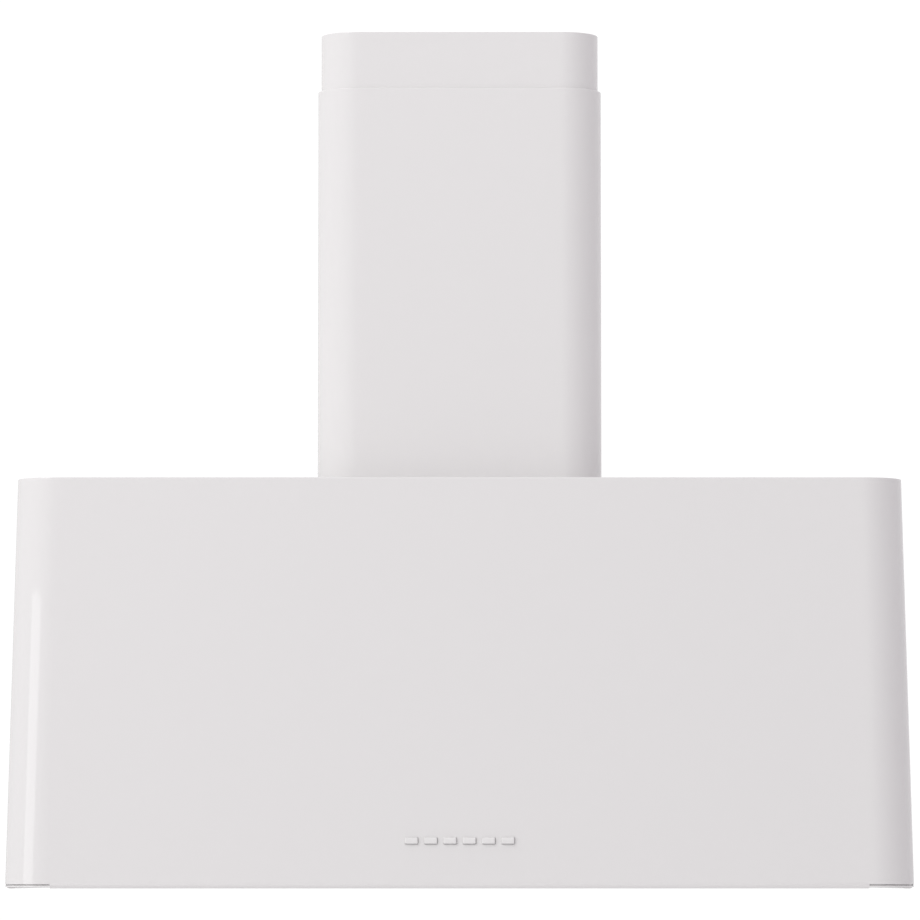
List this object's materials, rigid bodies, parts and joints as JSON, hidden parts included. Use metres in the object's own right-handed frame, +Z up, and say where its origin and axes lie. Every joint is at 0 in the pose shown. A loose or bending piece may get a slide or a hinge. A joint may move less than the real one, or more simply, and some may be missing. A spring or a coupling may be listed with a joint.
{
  "type": "island range hood",
  "caption": "Ceiling-hung island range hood: tapered rounded canopy with push buttons, telescopic square flue, swing-down grease filters, recessed lamps and an inner blower.",
  "frame": {"origin": "centre of the ceiling plate's upper face, where the hood bolts to the ceiling", "axes": "+Z up into the ceiling; +X along the canopy's long side, to the right of a person facing the push buttons; -Y towards that person"},
  "size_m": [0.9, 0.6018, 0.872],
  "materials": {
    "galvanised": "zinc plated, matt",
    "zinc_screw": "zinc plated, bright",
    "white_enamel": "gloss white enamel",
    "dark_plastic": "moulded",
    "grey_plastic": "moulded",
    "capacitor_can": "drawn",
    "motor_black": "satin black",
    "spring_steel": "drawn wire",
    "circuit_board": "solder resist",
    "stainless": "brushed",
    "frosted_glass": "frosted",
    "lamp_can_metal": "spun",
    "led_board": "white coated aluminium",
    "white_plastic": "satin white moulding",
    "filter_aluminium": "brushed"
  },
  "bodies": {
    "ceiling_frame": {"ceiling_plate": "galvanised", "upper_frame_brace": "galvanised", "upper_flue": "white_enamel", "upper_flue_screws": "zinc_screw", "upper_upright_front_left": "galvanised", "upper_upright_front_right": "galvanised", "upper_upright_rear_left": "galvanised", "upper_upright_rear_right": "galvanised"},
    "hood": {"frame_base_plate": "galvanised", "frame_screws": "zinc_screw", "canopy_skin": "white_enamel", "canopy_deck": "white_enamel", "skin_studs": "zinc_screw", "canopy_liner": "white_enamel", "liner_screws": "zinc_screw", "canopy_posts": "galvanised", "cable_gland": "dark_plastic", "junction_box": "grey_plastic", "capacitor": "capacitor_can", "outlet_adapter": "dark_plastic", "blower_housing_left": "galvanised", "blower_housing_right": "galvanised", "blower_screws": "zinc_screw", "motor": "motor_black", "motor_bracket": "galvanised", "button_carrier": "dark_plastic", "duct_collar": "dark_plastic", "control_board": "circuit_board", "push_switches": "dark_plastic", "lamp_bezels": "stainless", "lamp_lenses": "frosted_glass", "lamp_cans": "lamp_can_metal", "lamp_boards": "led_board", "lower_upright_front_left": "galvanised", "lower_upright_front_right": "galvanised", "lower_upright_rear_left": "galvanised", "lower_upright_rear_right": "galvanised"},
    "lower_flue": {"lower_flue": "white_enamel"},
    "damper_front": {"damper_flap_front": "grey_plastic"},
    "damper_rear": {"damper_flap_rear": "grey_plastic"},
    "fan": {"impeller": "dark_plastic", "motor_shaft": "spring_steel"},
    "light": {"light_button": "white_plastic"},
    "stop": {"stop_button": "white_plastic"},
    "low_speed": {"low_speed_button": "white_plastic"},
    "medium_speed": {"medium_speed_button": "white_plastic"},
    "high_speed": {"high_speed_button": "white_plastic"},
    "boost": {"boost_button": "white_plastic"},
    "filter_left": {"filter_left_frame": "filter_aluminium", "filter_left_baffles": "stainless"},
    "latch_left": {"filter_left_latch": "grey_plastic", "filter_left_springs": "spring_steel"},
    "filter_middle": {"filter_middle_frame": "filter_aluminium", "filter_middle_baffles": "stainless"},
    "latch_middle": {"filter_middle_latch": "grey_plastic", "filter_middle_springs": "spring_steel"},
    "filter_right": {"filter_right_frame": "filter_aluminium", "filter_right_baffles": "stainless"},
    "latch_right": {"filter_right_latch": "grey_plastic", "filter_right_springs": "spring_steel"}
  },
  "joints": [
    {"name": "height_adjust", "type": "slide", "parent": "ceiling_frame", "child": "hood", "axis": [0, 0, -1], "range_m": [0, 0.27]},
    {"name": "lower_flue_lift", "type": "slide", "parent": "hood", "child": "lower_flue", "axis": [0, 0, 1], "range_m": [0, 0.035]},
    {"name": "fan_spin", "type": "hinge", "parent": "hood", "child": "fan", "pos_m": [0, -0.074, -0.616], "axis": [1, 0, 0], "continuous": true},
    {"name": "damper_front_swing", "type": "hinge", "parent": "hood", "child": "damper_front", "pos_m": [0, -0.0025, -0.44], "axis": [-1, 0, 0], "range_deg": [0, 80]},
    {"name": "damper_rear_swing", "type": "hinge", "parent": "hood", "child": "damper_rear", "pos_m": [0, 0.0025, -0.44], "axis": [1, 0, 0], "range_deg": [0, 80]},
    {"name": "light_press", "type": "slide", "parent": "hood", "child": "light", "axis": [0, 1, 0], "range_m": [0, 0.002], "stiffness_N_per_m": 400, "springref_m": -0.002},
    {"name": "stop_press", "type": "slide", "parent": "hood", "child": "stop", "axis": [0, 1, 0], "range_m": [0, 0.002], "stiffness_N_per_m": 400, "springref_m": -0.002},
    {"name": "low_speed_press", "type": "slide", "parent": "hood", "child": "low_speed", "axis": [0, 1, 0], "range_m": [0, 0.002], "stiffness_N_per_m": 400, "springref_m": -0.002},
    {"name": "medium_speed_press", "type": "slide", "parent": "hood", "child": "medium_speed", "axis": [0, 1, 0], "range_m": [0, 0.002], "stiffness_N_per_m": 400, "springref_m": -0.002},
    {"name": "high_speed_press", "type": "slide", "parent": "hood", "child": "high_speed", "axis": [0, 1, 0], "range_m": [0, 0.002], "stiffness_N_per_m": 400, "springref_m": -0.002},
    {"name": "boost_press", "type": "slide", "parent": "hood", "child": "boost", "axis": [0, 1, 0], "range_m": [0, 0.002], "stiffness_N_per_m": 400, "springref_m": -0.002},
    {"name": "filter_left_swing", "type": "hinge", "parent": "hood", "child": "filter_left", "pos_m": [-0.25, 0.178, -0.8408], "axis": [1, 0, 0], "range_deg": [0, 70]},
    {"name": "filter_middle_swing", "type": "hinge", "parent": "hood", "child": "filter_middle", "pos_m": [0, 0.178, -0.8408], "axis": [1, 0, 0], "range_deg": [0, 70]},
    {"name": "filter_right_swing", "type": "hinge", "parent": "hood", "child": "filter_right", "pos_m": [0.25, 0.178, -0.8408], "axis": [1, 0, 0], "range_deg": [0, 70]},
    {"name": "latch_left_slide", "type": "slide", "parent": "filter_left", "child": "latch_left", "axis": [0, 1, 0], "range_m": [0, 0.008], "stiffness_N_per_m": 300, "springref_m": -0.006},
    {"name": "latch_middle_slide", "type": "slide", "parent": "filter_middle", "child": "latch_middle", "axis": [0, 1, 0], "range_m": [0, 0.008], "stiffness_N_per_m": 300, "springref_m": -0.006},
    {"name": "latch_right_slide", "type": "slide", "parent": "filter_right", "child": "latch_right", "axis": [0, 1, 0], "range_m": [0, 0.008], "stiffness_N_per_m": 300, "springref_m": -0.006}
  ]
}
